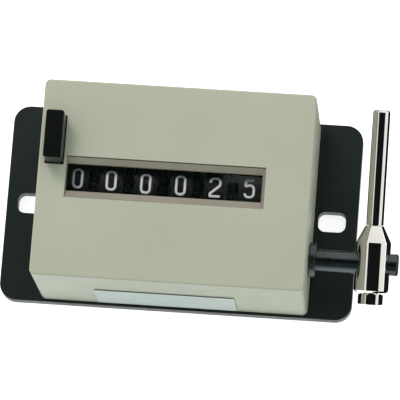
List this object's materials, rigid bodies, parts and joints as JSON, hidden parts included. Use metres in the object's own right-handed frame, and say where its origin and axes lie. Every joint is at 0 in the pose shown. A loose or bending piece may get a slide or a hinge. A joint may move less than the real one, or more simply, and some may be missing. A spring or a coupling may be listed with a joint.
{
  "type": "stroke counter",
  "caption": "Mechanical stroke counter: housing on a slotted base plate, windowed number wheels, side lever on a turning shaft, and a push key that resets the reading.",
  "frame": {"origin": "middle of the base plate's rear face, which the counter is fixed or laid down by", "axes": "+X towards the side lever, +Y from the rating label to the reset key and so towards the tip of the lever, +Z out of the window, away from the base plate"},
  "size_m": [0.1435, 0.0716, 0.0595],
  "materials": {
    "plate_lacquer": "dark grey-green stoved lacquer, smooth satin",
    "cover_enamel": "pale grey-green enamel, satin, faint orange peel",
    "bezel_plastic": "warm grey moulded plastic",
    "clear_window": "clear acrylic sheet, polished",
    "label_foil": "thin bare label foil, matt pale",
    "bright_steel": "bright zinc plated steel",
    "dark_steel": "blackened steel, oiled",
    "spring_steel": "spring wire",
    "nickel_plate": "bright nickel plate",
    "wheel_plastic": "black moulded plastic, fine satin",
    "key_plastic": "black moulded plastic, satin",
    "pinion_plastic": "natural white acetal",
    "gear_brass": "milled brass"
  },
  "bodies": {
    "housing": {"base_plate": "plate_lacquer", "cover": "cover_enamel", "window_frame": "bezel_plastic", "window_lens": "clear_window", "rating_label": "label_foil", "left_side_plate": "bright_steel", "right_side_plate": "bright_steel", "lower_tie_bar": "bright_steel", "upper_tie_bar": "bright_steel", "front_tie_bar": "bright_steel", "wheel_axle": "bright_steel", "wheel_axle_ring_left": "dark_steel", "wheel_axle_ring_right": "dark_steel", "pinion_axle": "bright_steel", "detent_spring": "spring_steel", "shaft_bush": "dark_steel", "lever_return_spring": "spring_steel", "reset_return_spring": "spring_steel", "cover_screw_1": "bright_steel", "cover_screw_2": "bright_steel", "cover_screw_3": "bright_steel", "cover_screw_4": "bright_steel", "frame_screw_1": "bright_steel", "frame_screw_2": "bright_steel", "frame_screw_3": "bright_steel", "frame_screw_4": "bright_steel"},
    "lever": {"drive_shaft": "dark_steel", "shaft_ring": "dark_steel", "drive_segment": "gear_brass", "segment_pin": "dark_steel", "lever_hub": "nickel_plate", "lever_rod": "nickel_plate", "clamp_screw": "nickel_plate"},
    "drive_gear": {"drive_gear": "gear_brass", "pawl_spring": "spring_steel"},
    "drive_pawl": {"drive_pawl": "dark_steel"},
    "detent_lever": {"detent_lever": "dark_steel"},
    "units_wheel": {"number_wheel_6": "wheel_plastic", "ratchet_wheel": "gear_brass"},
    "number_wheel_1": {"number_wheel_1": "wheel_plastic"},
    "transfer_pinion_1": {"transfer_pinion_1": "pinion_plastic"},
    "number_wheel_2": {"number_wheel_2": "wheel_plastic"},
    "transfer_pinion_2": {"transfer_pinion_2": "pinion_plastic"},
    "number_wheel_3": {"number_wheel_3": "wheel_plastic"},
    "transfer_pinion_3": {"transfer_pinion_3": "pinion_plastic"},
    "number_wheel_4": {"number_wheel_4": "wheel_plastic"},
    "transfer_pinion_4": {"transfer_pinion_4": "pinion_plastic"},
    "number_wheel_5": {"number_wheel_5": "wheel_plastic"},
    "transfer_pinion_5": {"transfer_pinion_5": "pinion_plastic"},
    "reset_key": {"reset_key": "key_plastic"},
    "reset_comb": {"reset_shaft": "bright_steel", "reset_shaft_ring": "dark_steel", "reset_crank": "bright_steel", "reset_hammer_1": "bright_steel", "reset_hammer_2": "bright_steel", "reset_hammer_3": "bright_steel", "reset_hammer_4": "bright_steel", "reset_hammer_5": "bright_steel", "reset_hammer_6": "bright_steel"}
  },
  "joints": [
    {"name": "lever_stroke", "type": "hinge", "parent": "housing", "child": "lever", "pos_m": [0, -0.0185, 0.026], "axis": [1, 0, 0], "range_deg": [0, 45], "stiffness_Nm_per_rad": 0.12, "springref_deg": -40.11},
    {"name": "drive_gear_turn", "type": "hinge", "parent": "housing", "child": "drive_gear", "pos_m": [0, 0.001, 0.0295], "axis": [1, 0, 0], "range_deg": [-36, 0]},
    {"name": "units_wheel_turn", "type": "hinge", "parent": "housing", "child": "units_wheel", "pos_m": [0, 0.001, 0.0295], "axis": [1, 0, 0], "range_deg": [-36, 0]},
    {"name": "pawl_lift", "type": "hinge", "parent": "drive_gear", "child": "drive_pawl", "pos_m": [0, -0.00478, 0.0364], "axis": [1, 0, 0], "range_deg": [0, 12], "stiffness_Nm_per_rad": 0.004, "springref_deg": -17.19, "deforming": ["pawl_spring"]},
    {"name": "detent_lift", "type": "hinge", "parent": "housing", "child": "detent_lever", "pos_m": [0, -0.0195, 0.011], "axis": [1, 0, 0], "range_deg": [-5, 0], "stiffness_Nm_per_rad": 0.02, "springref_deg": 17.19, "deforming": ["detent_spring"]},
    {"name": "number_wheel_1_turn", "type": "hinge", "parent": "housing", "child": "number_wheel_1", "pos_m": [0, 0.001, 0.0295], "axis": [1, 0, 0], "continuous": true},
    {"name": "number_wheel_2_turn", "type": "hinge", "parent": "housing", "child": "number_wheel_2", "pos_m": [0, 0.001, 0.0295], "axis": [1, 0, 0], "continuous": true},
    {"name": "number_wheel_3_turn", "type": "hinge", "parent": "housing", "child": "number_wheel_3", "pos_m": [0, 0.001, 0.0295], "axis": [1, 0, 0], "continuous": true},
    {"name": "number_wheel_4_turn", "type": "hinge", "parent": "housing", "child": "number_wheel_4", "pos_m": [0, 0.001, 0.0295], "axis": [1, 0, 0], "continuous": true},
    {"name": "number_wheel_5_turn", "type": "hinge", "parent": "housing", "child": "number_wheel_5", "pos_m": [0, 0.001, 0.0295], "axis": [1, 0, 0], "continuous": true},
    {"name": "transfer_pinion_1_turn", "type": "hinge", "parent": "housing", "child": "transfer_pinion_1", "pos_m": [0, 0.01452, 0.02004], "axis": [1, 0, 0], "continuous": true},
    {"name": "transfer_pinion_2_turn", "type": "hinge", "parent": "housing", "child": "transfer_pinion_2", "pos_m": [0, 0.01452, 0.02004], "axis": [1, 0, 0], "continuous": true},
    {"name": "transfer_pinion_3_turn", "type": "hinge", "parent": "housing", "child": "transfer_pinion_3", "pos_m": [0, 0.01452, 0.02004], "axis": [1, 0, 0], "continuous": true},
    {"name": "transfer_pinion_4_turn", "type": "hinge", "parent": "housing", "child": "transfer_pinion_4", "pos_m": [0, 0.01452, 0.02004], "axis": [1, 0, 0], "continuous": true},
    {"name": "transfer_pinion_5_turn", "type": "hinge", "parent": "housing", "child": "transfer_pinion_5", "pos_m": [0, 0.01452, 0.02004], "axis": [1, 0, 0], "continuous": true},
    {"name": "reset_press", "type": "slide", "parent": "housing", "child": "reset_key", "axis": [0, 0, -1], "range_m": [0, 0.006], "stiffness_N_per_m": 400, "springref_m": -0.008},
    {"name": "reset_comb_turn", "type": "hinge", "parent": "housing", "child": "reset_comb", "pos_m": [0, 0.0245, 0.03], "axis": [1, 0, 0], "range_deg": [0, 30]}
  ],
  "couplings": [
    {"joint": "drive_gear_turn", "follows": "lever_stroke", "ratio": -0.8},
    {"joint": "units_wheel_turn", "follows": "lever_stroke", "ratio": -0.8},
    {"joint": "transfer_pinion_1_turn", "follows": "number_wheel_1_turn", "ratio": -2.5},
    {"joint": "transfer_pinion_2_turn", "follows": "number_wheel_2_turn", "ratio": -2.5},
    {"joint": "transfer_pinion_3_turn", "follows": "number_wheel_3_turn", "ratio": -2.5},
    {"joint": "transfer_pinion_4_turn", "follows": "number_wheel_4_turn", "ratio": -2.5},
    {"joint": "transfer_pinion_5_turn", "follows": "number_wheel_5_turn", "ratio": -2.5},
    {"joint": "reset_comb_turn", "follows": "reset_press", "rad_per_m": 87.26}
  ]
}
